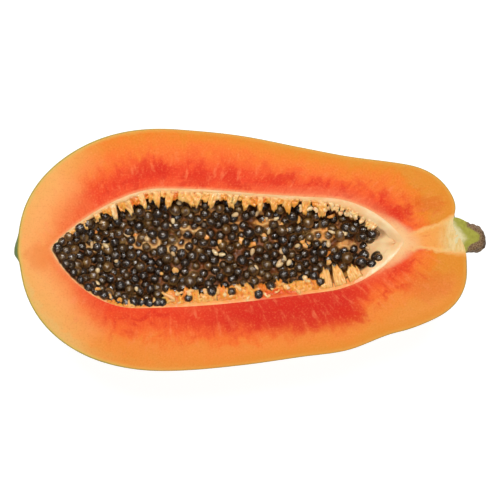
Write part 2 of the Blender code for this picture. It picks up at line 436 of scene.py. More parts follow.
class Finish(Nodes):
    """A material, with its lengths in millimetres and its colour laid on in layers.

    A colour is a wire, a setting of four values or (red, green, blue) in display values. coat is the
    clear coat's weight and roughness, and scatter the weight and depth of the light under the surface.
    """

    def __init__(self, name, roughness, specular, coat=(0.0, 0.1), scatter=None):
        self.material = bpy.data.materials.new(name)
        self.material.use_nodes = True
        super().__init__(self.material.node_tree)
        self.colour = None
        self.surface = self.tree.nodes["Principled BSDF"].inputs
        self.surface["Roughness"].default_value = roughness
        self.surface["Specular IOR Level"].default_value = specular
        self.surface["Coat Weight"].default_value, self.surface["Coat Roughness"].default_value = coat
        if scatter:
            weight, depth = scatter
            self.surface["Subsurface Weight"].default_value = weight
            self.surface["Subsurface Scale"].default_value = depth * MM
        self.place = self.node("ShaderNodeTexCoord", output="Object")

    def axis(self, letter):
        """The object's X, Y or Z in millimetres."""
        return self.node("ShaderNodeSeparateXYZ", {}, {0: self.place}, letter) * (1 / MM)

    def attribute(self, name, output="Fac"):
        return self.node("ShaderNodeAttribute", {"attribute_name": name}, {}, output)

    def stretched(self, *factors):
        """The object's place, each axis multiplied by its own factor."""
        return self.node("ShaderNodeVectorMath", {"operation": "MULTIPLY"}, {0: self.place, 1: factors})

    def noise(self, size, detail=2.0, roughness=0.5, vector=None, distortion=0.0):
        """Noise with features of about this many millimetres, 0 to 1. A vector is in millimetres too."""
        values = {"Vector": vector or self.place, "Scale": 1 / size if vector else 1 / (size * MM)}
        values |= {"Detail": detail, "Roughness": roughness, "Distortion": distortion}
        return self.node("ShaderNodeTexNoise", {}, values)

    def cells(self, size, feature="F1"):
        """Cells of about this many millimetres: the distance from their middles or to their borders."""
        values = {"Vector": self.place, "Scale": 1 / (size * MM)}
        return self.node("ShaderNodeTexVoronoi", {"feature": feature}, values, "Distance")

    def ramp(self, factor, *stops):
        return self.node("ShaderNodeValToRGB", {"stops": stops}, {0: factor})

    def mix(self, factor, one, other):
        """A colour that goes from one, at factor 0, to the other."""
        settings = {"data_type": "RGBA", "clamp_factor": True}
        sockets = {0: factor, 6: socket_colour(one), 7: socket_colour(other)}
        return self.node("ShaderNodeMix", settings, sockets, 2)

    def lay(self, factor, colour):
        """Lays a colour over what is there, as thick as the factor says."""
        self.colour = self.mix(factor, self.colour, colour)

    def done(self, roughness, height, millimetres, strength):
        """Connects the colour, a roughness if there is one, and a bump of 0 to 1 times millimetres."""
        self.feed(self.surface["Base Color"], self.colour)
        if roughness:
            self.feed(self.surface["Roughness"], roughness)
        values = {"Strength": strength, "Distance": millimetres * MM, "Height": height}
        self.feed(self.surface["Normal"], self.node("ShaderNodeBump", {}, values))
        return self


def oval(x, y, middle, half):
    """0 in the middle of an oval and 1 on its edge: the squares of (x - middle) / half and the same for y."""
    off_x, off_y = (x - middle[0]) * (1 / half[0]), (y - middle[1]) * (1 / half[1])
    return off_x * off_x + off_y * off_y


# --- Settings ---
def colour_property(name, description, colour):
    return FloatVectorProperty(
        name=name, description=description, default=colour, size=4, subtype="COLOR", min=0.0, max=1.0
    )


def length_property(name, description, metres):
    return FloatProperty(name=name, description=description, default=metres, min=0.0, unit="LENGTH")


class FleshSettings(PropertyGroup):
    """The flesh, its skin and the lining of its cavity."""

    ripest: colour_property("Ripest red", "Flesh near the cavity where it is ripest", shade(214, 36, 27))
    olive: colour_property("Edge line", "The thin line of skin round the cut", shade(168, 152, 66))
    cream: colour_property("Cream", "The lining's rim", shade(253, 196, 136))
    skin_yellow: colour_property("Ripe skin", "The skin where it has turned", shade(226, 150, 48))
    skin_green: colour_property("Green skin", "The skin where it is still green", shade(104, 118, 44))
    relief: length_property("Cut relief", "How uneven the cut face is", 0.00012)


class SeedSettings(PropertyGroup):
    """The seeds that fill the cavity."""

    count: IntProperty(name="Count", description="How many seeds there are", default=335, min=10, max=1900)
    length: length_property("Length", "A seed's mean length", 0.0067)
    width: length_property("Width", "A seed's mean width", 0.0062)
    unripe: IntProperty(name="Unripe", description="How many seeds stayed pale", default=38, min=0)
    dark: colour_property("Dark", "The seed under its sac", shade(26, 15, 9))
    sac: colour_property("Sac", "The sac at a seed's sides", shade(136, 90, 38))
    unripe_colour: colour_property("Unripe seeds", "Seeds that stayed pale", shade(236, 205, 150))


class StageSettings(PropertyGroup):
    """The floor, the light and the camera."""

    lens: FloatProperty(name="Lens", description="Focal length", default=135.0, min=20.0, unit="CAMERA")
    view: length_property("View width", "What the camera spans at the cut face", 0.2965)
    lamp_power: FloatProperty(name="Lamp power", description="The main softbox", default=6.1, unit="POWER")
    lamp_size: length_property("Lamp size", "Each softbox's side", 0.26)
    floor: colour_property("Floor", "The floor's colour", shade(160, 160, 160))


# --- The flesh ---
COLUMNS = 720
WALL_ROWS, BACK_ROWS, CUT_ROWS = 10, 50, 46
SHRINK = -0.12  # keeps the fine surface inside the coarser solid's box
EDGE_WIDTH, EDGE_DROP = 0.6, 0.4  # how wide the cut's rounded edge at the skin is, and how far it drops
BACK_WAVES = 0.10  # how uneven the back is
# Where the flesh is ripest, as ovals: (middle x and y), (half length and width), strength.
RIPE_SPOTS = (
    ((-59.0, 47.0), (13.0, 6.0), 0.6),
    ((-30.0, 42.0), (10.0, 5.0), 0.6),
    ((-11.0, 43.0), (7.0, 7.0), 0.6),
    ((18.0, 42.0), (10.0, 4.0), 0.6),
    ((71.0, 23.0), (11.0, 5.0), 0.6),
    ((87.0, 22.0), (9.0, 5.0), 0.6),
    ((59.0, -38.0), (10.0, 5.0), 0.6),
    ((106.0, -21.0), (18.0, 9.0), 0.25),
    ((106.0, 28.0), (11.0, 6.0), 0.32),
)


def stem_joint(points):
    """1 where the stem grows out of the flesh and 0 elsewhere, as a soft disc round that place."""
    return rise(np.hypot(points[..., 0] - 124.0, (points[..., 1] - 8.2) * 0.85), 11.0, 8.0)


def flesh_surface(relief):
    """The flesh as one grid, a profile carried round the cut.

    It climbs the cavity's wall, crosses the cut straight from the cavity's rim to the skin, and goes
    down the back to the keel, so both sides meet there. Returns the points and what the finish reads.
    """
    turn = turns(COLUMNS)
    wall = shell(CAVITY, turn, np.linspace(math.pi / 2, 0, WALL_ROWS)[:, None])
    back = with_marks(shell(FRUIT, turn, np.linspace(0, math.pi / 2, BACK_ROWS)[:, None], SHRINK, LOBE_SWELL))
    rim, edge = wall[-1], back[0]
    evenly = np.linspace(0.05, 0.97, CUT_ROWS)
    share = np.concatenate(([0.0, 0.003, 0.01, 0.028], evenly, [0.982, 0.991, 0.997, 1.0]))[:, None]
    cut = rim + (edge - rim) * share[..., None]
    from_rim = np.einsum("rck,ck->rc", (cut - rim)[..., :2], outward(rim[:, :2]))
    from_skin = np.einsum("rck,ck->rc", (edge - cut)[..., :2], outward(edge[:, :2]))
    drop = EDGE_DROP * (1 - np.clip(from_skin / EDGE_WIDTH, 0, 1)) ** 2 * (1 - stem_joint(cut))
    uneven = relief * (0.6 * waves(cut[..., :2], 24, 1) + 0.35 * waves(cut[..., :2], 6, 2))
    cut[..., 2] = -(np.maximum(relief + uneven * rise(from_rim, 0, 4), 0.02) + drop)
    fading = np.sin(np.linspace(0, math.pi, BACK_ROWS))[:, None] * np.abs(np.sin(turn))
    back[..., 2] += BACK_WAVES * waves(back, 16, 3) * fading
    back[..., 2] = np.maximum(np.minimum(back[..., 2], 0.0), -CUT_HEIGHT)

    def all_rows(on_wall, on_cut, on_back):
        """The wall's and the back's rows with one value each, and the cut's with their own."""
        before = np.full((WALL_ROWS - 1, COLUMNS), on_wall)
        after = np.full((BACK_ROWS - 1, COLUMNS), on_back)
        return np.concatenate((before, on_cut, after))

    across = all_rows(0.0, share * np.ones(COLUMNS), 1.0)
    middle = (rim + edge)[:, :2] / 2
    values = {
        "across": across,
        "from_rim": all_rows(0.0, from_rim, 60.0),
        "from_skin": all_rows(40.0, from_skin, 0.0),
        "rays": np.dstack((np.broadcast_to(middle, (*across.shape, 2)), across * 14))[None],
    }
    return np.concatenate((wall[:-1], cut, back[1:])), values


def cut_flesh_finish(look):
    """Moist flesh: red by the cavity and orange by the skin, peach at the blossom end, with rays across."""
    made = Finish("cut_flesh", 0.45, 0.06, scatter=(0.1, 1.5))
    x, y = made.axis("X"), made.axis("Y")
    blotch = made.noise(9, roughness=0.6, distortion=0.6)
    fibre = made.noise(3.2, detail=3, vector=made.attribute("rays", "Vector"))
    grain = made.noise(1.1, detail=3)
    drift, sway, stray = made.noise(30) - 0.5, blotch - 0.5, fibre - 0.5
    across, from_rim, from_skin = (made.attribute(name) for name in ("across", "from_rim", "from_skin"))
    near = y.rise(-8, -24)
    far = 1 - near

    # The red band is thinner towards the stem on the far side, and broad and deep on the near side.
    t = across + drift * 0.28 + sway * 0.42 + stray * 0.12 + (x + drift * 30).rise(78, 126) * 0.36
    deeper = x.rise(-60, -100) * 0.06 + x.rise(-70, -45) * x.rise(14, -8) * 0.09
    t = t + far * (x.rise(20, 70) * 0.10 - deeper)
    t = t + near * (x.rise(-36, -64) * 0.13 + x.rise(56, 76) * 0.24)
    to_red = ((0.00, 246, 92, 48), (0.14, 240, 68, 34), (0.27, 241, 76, 36), (0.42, 247, 98, 42))
    to_orange = ((0.56, 249, 118, 46), (0.72, 246, 128, 44), (0.88, 240, 134, 38), (1.00, 232, 144, 46))
    to_peach = ((0.00, 247, 140, 72), (0.25, 252, 158, 86), (0.60, 252, 172, 98), (0.90, 246, 176, 96))
    made.colour = made.ramp(t, *to_red, *to_orange)
    blossom = (x + drift * 36 - across * (10 + near * 4)).rise(-88, -124)
    made.lay(blossom, made.ramp(t, *to_peach, (1.00, 238, 184, 106)))
    made.lay(near * t.rise(0.52, 0.72) * x.rise(-130, -60) * 0.55, (247, 148, 66))
    soft_t = across + drift * 0.30 + sway * 0.24 + stray * 0.10 - x.rise(-4, 34) * 0.16
    deep = near * x.rise(-60, 12) * (x + sway * 16).rise(76, 54) * soft_t.rise(0.60, 0.24)
    made.lay(deep * 0.85, look.ripest)
    bruise = blotch.rise(0.50, 0.34) * across.rise(0.60, 0.25) * x.rise(-100, -70) * x.rise(112, 90)
    made.lay(bruise * 0.55, (222, 38, 22))
    for middle, half, strength in RIPE_SPOTS:
        made.lay(oval(x + sway * 22, y + stray * 14, middle, half).rise(1.5, 0.1) * strength, (222, 40, 20))

    # The stem's core: two pale lines that open towards the stem, with fibrous flesh at its end.
    wander = sway * 5
    run = x.rise(92, 122, "LINEAR")
    beside = abs(y + wander - (4.6 + run * 4.7)) / (4.8 + run * run * 5.9)
    made.lay((x + wander).rise(88, 100) * beside.rise(1.2, 0.8) * 0.75, (250, 176, 92))
    pale_line = (x + wander).rise(92, 100) * abs(beside - 1.0).rise(0.34, 0.0) * (0.45 + blotch * 0.6)
    made.lay(pale_line, (252, 196, 118))
    strand = made.noise(1.7, vector=made.stretched(1000, 260, 1000))
    fibrous = (x + (strand - 0.5) * 3 + wander).rise(110, 121) * beside.rise(1.15, 0.8)
    made.lay(fibrous * 0.8, made.mix(strand.rise(0.3, 0.7), (224, 196, 122), (238, 218, 160)))

    # Cream flesh beside the cavity: a soft line, and a broad patch at the stem end.
    made.lay(from_rim.rise(8, 0) * x.rise(-10, 30) * far * 0.5, (252, 150, 96))
    made.lay(from_rim.rise(2.2, 0.0) * y.rise(-30, 6) * 0.6, (252, 178, 116))
    patch = (x + sway * 8).rise(72, 92) * (from_rim + sway * 4).rise(3 + abs(y - 4.6).rise(20, 3) * 9, 0.5)
    made.lay(patch * 0.9, (252, 204, 144))

    # Paler rays and fine grain of the flesh's fibres.
    made.lay(fibre.rise(0.54, 0.74) * across.rise(0.95, 0.35) * blotch.rise(0.3, 0.6) * 0.46, (252, 138, 88))
    dark_rays = fibre.rise(0.45, 0.30) * across.rise(0.85, 0.30) * (1 - blossom) * (1 - patch)
    made.lay(dark_rays * 0.35, (224, 48, 26))
    made.lay(grain.rise(0.50, 0.75) * 0.20, (255, 170, 104))
    made.lay(grain.rise(0.50, 0.28) * 0.16, (196, 62, 14))

    # Growth lines that follow the skin on the near shoulder, and a tan spot at the blossom tip.
    growth = (from_skin * 2.4 + blotch * 7).calculate("SINE").rise(0.2, 1.0)
    made.lay(growth * from_skin.rise(18, 9) * near * x.rise(76, 92) * 0.22, (255, 178, 104))
    made.lay(oval(x + sway * 12, y, (-125, -4), (9, 9)).rise(1.4, 0.1) * 0.5, (240, 130, 62))

    # Ochre and yellow beside the skin, and the skin's own line.
    outer = 1 - x.rise(112, 118) * beside.rise(1.5, 1.1)  # away from the stem's core
    made.lay(from_skin.rise(9, 1) * outer * x.rise(-70, 10) * 0.5, (228, 142, 40))
    made.lay(from_skin.rise(3.2, 0.3) * outer * (0.3 + x.rise(-40, -110) * 0.55), (226, 186, 96))
    line = (from_skin - x.rise(-30, -100) * 0.35 + sway * 0.5).rise(0.65, 0.15) * outer
    made.lay(line * 0.8, look.olive)
    return made.done(0.36 + grain * 0.16, grain * 0.5 + fibre * 0.5, 0.25, 0.5)


def skin_finish(look):
    """Waxy skin: yellow-orange, greener at both ends and in streaks, with freckles and a green scar."""
    made = Finish("papaya_skin", 0.5, 0.12)
    x = made.axis("X")
    patch = made.noise(9, detail=4)
    streak = made.noise(5, detail=3, vector=made.stretched(150, 1000, 1000))
    ends = x.rise(84, 124) * 0.55 + x.rise(-118, -136) * 0.8
    green = made.noise(38, detail=3).rise(0.42, 0.68) * 0.5 + ends
    made.colour = made.mix(patch.rise(0.3, 0.7) * 0.6, look.skin_yellow, (236, 128, 38))
    made.lay((green + (streak - 0.5) * 0.5).rise(0.1, 0.95), look.skin_green)
    made.lay(made.cells(3.4).rise(0.22, 0.1) * patch.rise(0.45, 0.6) * 0.5, (120, 92, 44))
    made.lay(x.rise(-134.5, -138) * (patch * 0.6 + 0.7), (90, 118, 10))
    return made.done(0.36 + patch * 0.2, patch * 0.6 + made.noise(1.2) * 0.4, 0.3, 0.5)


def make_flesh(look):
    """The flesh, whose last rows of faces have the skin's finish."""
    points, values = flesh_surface(look.relief / MM)
    is_skin = np.repeat(np.arange(len(points) - 1) >= len(points) - BACK_ROWS, COLUMNS)
    finishes = (cut_flesh_finish(look), skin_finish(look))
    add_piece("flesh_and_skin", points, finishes, values, "flesh", is_skin)


# --- The lining ---
LINING_COLUMNS = 540
LINING_OUT = 0.25  # how far it reaches into the flesh, so that no gap shows
KEEL_GROW = -4.8  # how far the inner wall lies in at the keel
CREST_ROWS, INNER_ROWS, OUTER_ROWS = 13, 22, 6


def band(turn):
    """(width, drop, calm) of the lining's rim at each turn.

    It is a thin line at the blossom tip, broader towards the stem on the far side, and a broad ledge
    that falls inwards on the near side. At the stem end, where calm is 1, it rolls softly into the hollow.
    """
    x = CAVITY.ends[0] + (CAVITY.ends[1] - CAVITY.ends[0]) * (1 - np.cos(turn)) / 2
    is_far = np.sin(turn) >= 0
    calm = np.where(is_far, rise(x, 40, 78), rise(x, 56, 82))
    far_width = 2.3 + 1.0 * rise(x, 15, 60)
    near_width = 1.0 + 3.6 * rise(x, -72, -48)
    width = 0.9 + (np.where(is_far, far_width, near_width) - 0.9) * np.abs(np.sin(turn)) ** 0.7
    near_drop = 1.2 + 1.4 * rise(x, -72, -48) + 0.7 * rise(x, -60, -90)
    drop = 0.6 + (np.where(is_far, 0.9, near_drop) - 0.6) * np.abs(np.sin(turn)) ** 0.7
    return width + (5.5 - width) * calm, drop + (2.4 - drop) * calm, calm


def lining_surface():
    """The lining as one grid: up its outer wall, over the domed rim and down the furrowed inner wall."""
    turn = turns(LINING_COLUMNS)
    width, drop, calm = band(turn)
    outer = shell(CAVITY, turn, np.linspace(math.pi / 2, 0, OUTER_ROWS)[:, None], LINING_OUT)
    share = np.concatenate(([0.0, 0.012, 0.03, 0.06], np.linspace(0.12, 1, CREST_ROWS - 4)))[:, None]
    grow = LINING_OUT - (width + LINING_OUT + 0.2) * share
    crest = shell(CAVITY, turn, np.zeros((CREST_ROWS, 1)), grow)
    place = crest[..., :2]
    lumps = (0.22 * waves(place, 5, 11) + 0.12 * waves(place, 2.2, 12)) * (1 - 0.7 * calm)
    roll = drop * share ** (1.6 + 0.3 * calm)
    outside = np.clip(grow / LINING_OUT, 0, 1)
    crest[..., 2] = -(0.25 * outside + roll) - np.clip(0.12 + lumps * rise(share, 0, 0.5), 0.05, 0.8)
    dip = np.linspace(0, math.pi / 2, INNER_ROWS + 1)[1:, None] ** 1.15 / (math.pi / 2) ** 0.15
    down = dip / (math.pi / 2)
    inner = shell(HOLLOW, turn, dip, grow[-1] * (1 - down) + KEEL_GROW * down)
    lip = crest[-1]
    furrow = (0.45 * waves(lip[:, :2], 4.2, 13) + 0.25 * waves(lip[:, :2], 1.9, 14)) * (1 - calm)
    to_axis = np.sign(np.interp(lip[:, 0], CAVITY.ends, CAVITY.axis) - lip[:, 1])
    inner[..., 1] += to_axis * furrow * np.sin(2 * dip)
    straight = lip + (inner[-1] - lip) * down[..., None]
    soft = rise(lip[:, 0], 66, 84) * 0.85
    inner[..., :2] += (straight - inner)[..., :2] * soft[:, None]
    highest = (lip[:, 2] - 0.05) * (1 - down) - 1.2 * down
    inner[..., 2] = np.minimum(inner[..., 2] - drop * np.cos(dip), highest)
    points = np.concatenate((outer[:-1], crest, inner))
    over_band = np.concatenate((np.zeros((OUTER_ROWS - 1, 1)), share, np.ones((INNER_ROWS, 1))))
    return points, {"over_band": over_band}


def wet_patch(made, lump):
    """Where wet red flesh shows through the near rim."""
    return (oval(made.axis("X"), made.axis("Y"), (17, -27.5), (13, 4)) + (lump - 0.5) * 1.4).rise(1.6, 0.7)


def lining_finish(look):
    """Moist placenta: cream at the rim, golden on the near ledge, and wet down the wall, where painted shade
    turns it brown with depth.
    """
    made = Finish("placenta", 0.42, 0.3, coat=(0.15, 0.15), scatter=(0.2, 2.0))
    x, y = made.axis("X"), made.axis("Y")
    under = CUT_HEIGHT - made.axis("Z")
    lump = made.noise(2.6, detail=3)
    broad = made.noise(11)
    near = y.rise(2, -14)
    made.colour = made.mix(near * x.rise(-100, -70), look.cream, (252, 166, 84))
    made.lay((broad * 0.5 + lump * 0.5).rise(0.42, 0.6) * near * 0.7, (242, 126, 48))
    made.lay(lump.rise(0.45, 0.7) * 0.35, (255, 216, 158))
    over_band = (made.attribute("over_band") + (lump - 0.5) * 0.5).rise(0.5, 1.1)
    made.lay(over_band, made.mix(lump, (236, 154, 78), (250, 194, 120)))
    made.lay(wet_patch(made, lump), made.mix(lump, (222, 58, 20), (250, 132, 52)))
    # Painted shade: the wall turns brown and dark the further it lies under the cut.
    made.lay(under.rise(1.6, 4.5), made.mix(lump, (92, 44, 18), (170, 94, 40)))
    wall = made.mix(broad.rise(0.3, 0.7), (246, 196, 138), (254, 218, 166))
    # Painted shade: the pale wall at the stem end darkens with depth.
    wall = made.mix(under.rise(6, 16) * 0.5, wall, (214, 146, 96))
    # Painted shadow: a brown pocket beside the last seed at the stem end.
    pocket_shadow = (oval(x, y, (76, 9.5), (4.5, 3.0)) + (lump - 0.5)).rise(1.6, 0.0)
    made.lay((x + (broad - 0.5) * 8).rise(62, 74), made.mix(pocket_shadow * 0.55, wall, (128, 62, 30)))
    # Painted shade: dark brown just under the rim at the blossom tip.
    made.lay(x.rise(-96, -106) * under.rise(0.4, 1.2), (66, 28, 10))
    return made.done(0.3 + lump * 0.25, lump * 0.6 + made.noise(0.8) * 0.4, 0.3, 0.5)


def make_lining(look):
    points, values = lining_surface()
    add_piece("placenta_lining", points, (lining_finish(look),), values, "lining")


# --- Where the seeds lie ---
SEED_SIDES, SEED_RINGS = 10, 7
SEED_LAYER = 3.4  # how far the seeds' middles spread in height
SEEDS_APART = 0.95  # how near their middles are meant to come, for their mean size
BLACK_SHARE = 0.38  # how many of them have hardly any colour in their sacs
# Places where seeds fell out and the membrane shows: (x, y, half length, half width).
WINDOWS = (
    (-92.0, 2.0, 9.0, 4.0),
    (-62.0, 5.0, 13.0, 5.5),
    (-44.0, 2.0, 11.0, 4.5),
    (-38.0, 12.0, 10.0, 3.0),
    (10.0, 16.0, 9.0, 3.0),
    (43.0, 9.0, 7.5, 6.0),
    (58.0, 3.0, 6.5, 3.5),
    (73.0, 0.5, 8.0, 4.5),
)


def window(x, y):
    """1 inside a window and 0 outside, falling softly at its oval border."""
    inside = [rise(np.hypot((x - cx) / a, (y - cy) / b), 1.15, 0.75) for cx, cy, a, b in WINDOWS]
    return np.max(inside, axis=0)


def by_clumps(x):
    """1 beside the near fringe's three clumps, which no seed lies under."""
    return rise(x, 41, 45) * rise(x, 71, 67)


def seed_edges(x):
    """(far, near) bounds of the seeds' middles: close to the rim at the blossom end, else further in."""
    far, near, _ = section(CAVITY, x, -2.0)
    far_inset = 1.0 + 2.7 * rise(x, -104, -74)
    near_inset = 3.4 - 1.7 * rise(x, -58, -48) + 4.4 * rise(x, -46, -32) - 1.6 * rise(x, 24, 44)
    return far - far_inset, near + near_inset + 5.5 * by_clumps(x)


def across_seeds(rng, x):
    """A random place across the seeds at each x."""
    far, near = seed_edges(x)
    return near + (far - near) * rng.uniform(0.02, 0.98, len(x))


SEED_ENDS = (-114.5, 75.5)
SEEDS_TOP = 0.9  # how far the seeds on the near rim stand over the cut
# Seeds that sit in the near fringe, each in a cup of it: (x, y, height of its middle).
CUPPED_SEEDS = (
    (-52.0, -31.6, -2.6),
    (-36.5, -28.6, -2.8),
    (-22.4, -24.9, -2.6),
    (-10.8, -24.9, -2.6),
    (5.1, -26.3, -2.4),
    (12.4, -21.4, -2.8),
    (38.0, -15.4, -2.9),
    (42.0, -18.8, -2.6),
)
# Seeds in a row along the near rim at the blossom end, against the flesh.
RIM_SEEDS = np.arange(-112.0, -51.0, 4.75)
# Seeds on the wall at the stem end.
LAST_SEEDS = (
    (73.0, 9.6, -4.6),
    (67.2, 8.0, -5.2),
    (76.6, -4.6, -3.6),
    (72.6, -8.4, -3.0),
    (66.0, -7.0, -4.2),
    (61.4, 12.2, -4.8),
)


def rim_place(x, side, inset):
    """The place at x that is this far in from the cavity's edge, and the level direction inwards."""
    step = 0.5
    edge = 0 if side == FAR else 1
    slope = (section(CAVITY, x + step)[edge] - section(CAVITY, x - step)[edge]) / (2 * step)
    inwards = unit(np.stack((slope * side, np.full(len(x), -side)), axis=-1))
    return np.column_stack((x, section(CAVITY, x)[edge])) + inwards * inset[:, None], inwards


def kept_inside(points):
    """Moves points to the nearest place, along and across, that is within the seeds' bounds."""
    points[:, 0] = np.clip(points[:, 0], *SEED_ENDS)
    far, near = seed_edges(points[:, 0])
    middle = (far + near) / 2
    points[:, 1] = np.clip(points[:, 1], np.minimum(near, middle), np.maximum(far, middle))
    return points


def spread_seeds(count, apart, seed):
    """Middles of seeds, pushed apart until few of them overlap.

    They start at random in a layer under the seeds' level. In each round a pair closer than it should be
    moves apart by half of what it lacks, and all are put back into the layer and inside the bounds.
    """
    rng = np.random.default_rng(seed)
    tries = drawn_sizes(rng, count * 6, SEED_ENDS, (-36, 38))
    tries[::6, 0] = rng.uniform(SEED_ENDS[0], -66, count)
    far, near = seed_edges(tries[:, 0])
    fits = (tries[:, 1] < far) & (tries[:, 1] > near)
    fits &= rng.uniform(size=len(tries)) > 0.86 * window(*tries.T)
    flat = tries[fits][:count]
    under = rng.uniform(0, SEED_LAYER, len(flat))
    points = np.column_stack((flat, np.zeros(len(flat))))
    for _ in range(70):
        x, y = points[:, 0], points[:, 1]
        far, near = seed_edges(x)
        by_rim = 1.3 * rise(far - y, 6, 1) * rise(x, -84, -76) + 1.2 * rise(y - near, 6, 1) * by_clumps(x)
        highest = -2.9 + 0.5 * rise(x, -56, -66) - by_rim
        lowest = hollow_floor(x, y) + 1.9
        points[:, 2] = np.minimum(np.maximum(seed_level(x, y) - 2.2 - under, lowest), highest)
        gap = points[:, None] - points[None]
        distance = np.linalg.norm(gap, axis=-1) + np.eye(len(points)) * 1e3
        push = np.clip(apart - distance, 0, None) / distance * 0.5
        move = (gap * push[..., None]).sum(axis=1)
        points += move * 0.8
        under = np.clip(under - move[:, 2] * 0.8, 0, SEED_LAYER)
        points = kept_inside(points)
    return points


# --- The bed ---
BED_LENGTHS, BED_ACROSS, BED_UNDER = 300, 96, 10


def bed_surface(sockets):
    """The membrane that the seeds sit in, closed below: a honeycomb with a pit for each socket.

    Its height is the seeds' level less a depth, raised by how near a place is to the border between two
    sockets, which is the distance to the second nearest middle less the distance to the nearest one.
    """
    inset = -1.6
    start, end = CAVITY.ends[0] - inset, CAVITY.ends[1] + inset
    x = start + (end - start) * (1 - np.cos(np.linspace(0, math.pi, BED_LENGTHS))) / 2
    far, near, _ = section(CAVITY, x, inset)

    def spread(share):
        """(x, y) of places at these shares of the way from the far edge to the near one."""
        y = far[:, None] + (near - far)[:, None] * share
        return np.broadcast_to(x[:, None], y.shape), y

    share = np.linspace(0, 1, BED_ACROSS)
    along, y = spread(share)
    place = np.dstack((along, y))
    distance = np.linalg.norm(place.reshape(-1, 1, 2) - sockets[None, :, :2], axis=-1)
    nearest, second = np.moveaxis(np.partition(distance, 1, axis=1)[:, :2].reshape(*y.shape, 2), -1, 0)
    border = rise(second - nearest, 2.0, 0.2) * rise(nearest, 1.2, 2.4) * rise(nearest, 4.4, 3.4)
    lip = rise(np.abs(nearest - 3.15), 0.7, 0.1)
    pit = rise(nearest, 2.9, 0.6)
    bare = window(along, y)
    fringe = rise(y - near[:, None], 9.0, 4.5) * rise(along, -50, -34) * rise(along, 74, 66)
    height = seed_level(along, y) - 6.0 + 3.1 * np.maximum(bare, fringe)
    height += (0.9 + 0.5 * bare) * border + 0.8 * bare * lip - 1.6 * pit
    height += 0.30 * waves(place, 3.0, 21) + 0.6 * waves(place, 11, 22)
    height = np.maximum(height, np.minimum(hollow_floor(along, y) - 0.4, -3.2))
    at_edge = np.minimum(share, 1 - share) < 0.5 / BED_ACROSS
    height = np.where(at_edge, np.minimum(height, -1.2), height)
    under_x, under_y = spread(share[::-1][1:-1][:: BED_ACROSS // BED_UNDER])
    under_z = np.minimum(hollow_floor(under_x, under_y) - 1.4, -3.0)
    points = np.concatenate((np.dstack((along, y, height)), np.dstack((under_x, under_y, under_z))), axis=1)
    points[[0, -1]] = points[[0, -1]].mean(axis=1, keepdims=True)
    tops = {"ridge": np.maximum(border * 0.6, lip * bare), "pit": pit, "gold": fringe, "bare": bare}
    # The underside counts as pit, which the finish paints with shade.
    below = {"ridge": 0.0, "pit": 1.0, "gold": 0.0, "bare": 0.0}
    return points, {key: np.hstack((top, np.full(under_x.shape, below[key]))) for key, top in tops.items()}


def bed_finish():
    """Wet membrane: dark between the seeds and in their pits as painted shade, peach with pale lips where it
    lies bare or by the near rim.
    """
    made = Finish("seed_bed", 0.4, 0.2, coat=(0.06, 0.15), scatter=(0.15, 2.0))
    x = made.axis("X")
    ridge, pit, gold, bare = (made.attribute(name) for name in ("ridge", "pit", "gold", "bare"))
    lump = made.noise(2.4, detail=3)
    broad = made.noise(13)
    # Painted shade: the membrane is dark brown between the seeds, and tan only on ridges, bare windows and
    # patches.
    floor = made.mix(lump, (58, 27, 9), (136, 74, 28))
    tan = made.mix(lump.rise(0.3, 0.7), (160, 92, 44), (218, 154, 84))
    patch = (broad + lump * 0.4).rise(0.74, 0.86)
    made.colour = made.mix(ridge * 0.25 + bare * 0.95 + patch * 0.7, floor, tan)
    made.lay(ridge * bare, (232, 184, 120))
    made.lay(broad.rise(0.44, 0.34) * (0.3 + lump) * 0.4, (150, 78, 26))
    golden = gold + (broad + x * (1 / 420)).rise(0.54, 0.68) * (bare * 0.6 + lump.rise(0.45, 0.7) * 0.6)
    made.lay(golden, made.mix(lump, (222, 124, 40), (248, 184, 98)))
    made.lay(x.rise(64, 76) * (0.35 + ridge), (236, 184, 130))
    # Painted shade: dark brown in the pit under each seed and on the bed's underside.
    made.lay(pit * (1 - bare * 0.2), (48, 26, 10))
    return made.done(0.25 + lump * 0.3, lump, 0.4, 0.6)


def make_bed(sockets):
    points, values = bed_surface(sockets)
    add_piece("seed_bed", points, (bed_finish(),), values, "seed_heap")


# --- The seeds ---
def seed_finish(look):
    """A wet seed in its clear sac, painted by how far a place faces from its upward axis: a slate middle, the
    mottled seed lightened by a painted reflection, darker round it, and olive sides, painted light through
    the thick sac.
    """
    made = Finish("wet_seeds", 0.16, 0.9, coat=(0.25, 0.05))
    tone, side, warm = (made.attribute(name) for name in ("tone", "side", "warm"))
    mottle = made.noise(0.9, detail=3)
    wrinkle = made.noise(1.7, distortion=1.2)
    away = side + (mottle - 0.5) * 0.25
    # Painted reflection: the middle, which faces up, is the mottled seed lightened to slate.
    slate_and_reflection = made.mix(mottle.rise(0.35, 0.7), look.dark, (92, 72, 54))
    halo = made.mix(warm * 0.7, made.mix(tone, look.sac, (176, 142, 84)), (152, 78, 30))
    made.colour = made.mix(tone, slate_and_reflection, (158, 122, 66))
    made.lay(away.rise(0.25, 0.60), made.mix(tone, look.dark, (104, 68, 28)))
    # Painted light: the sides glow olive, as light through the thick sac, over the sac's own colour.
    made.lay(away.rise(0.80, 1.0) * (0.5 + tone * 0.5), halo)
    return made.done(0.07 + mottle * 0.18, wrinkle * 0.7 + mottle * 0.3, 0.6, 1.0)


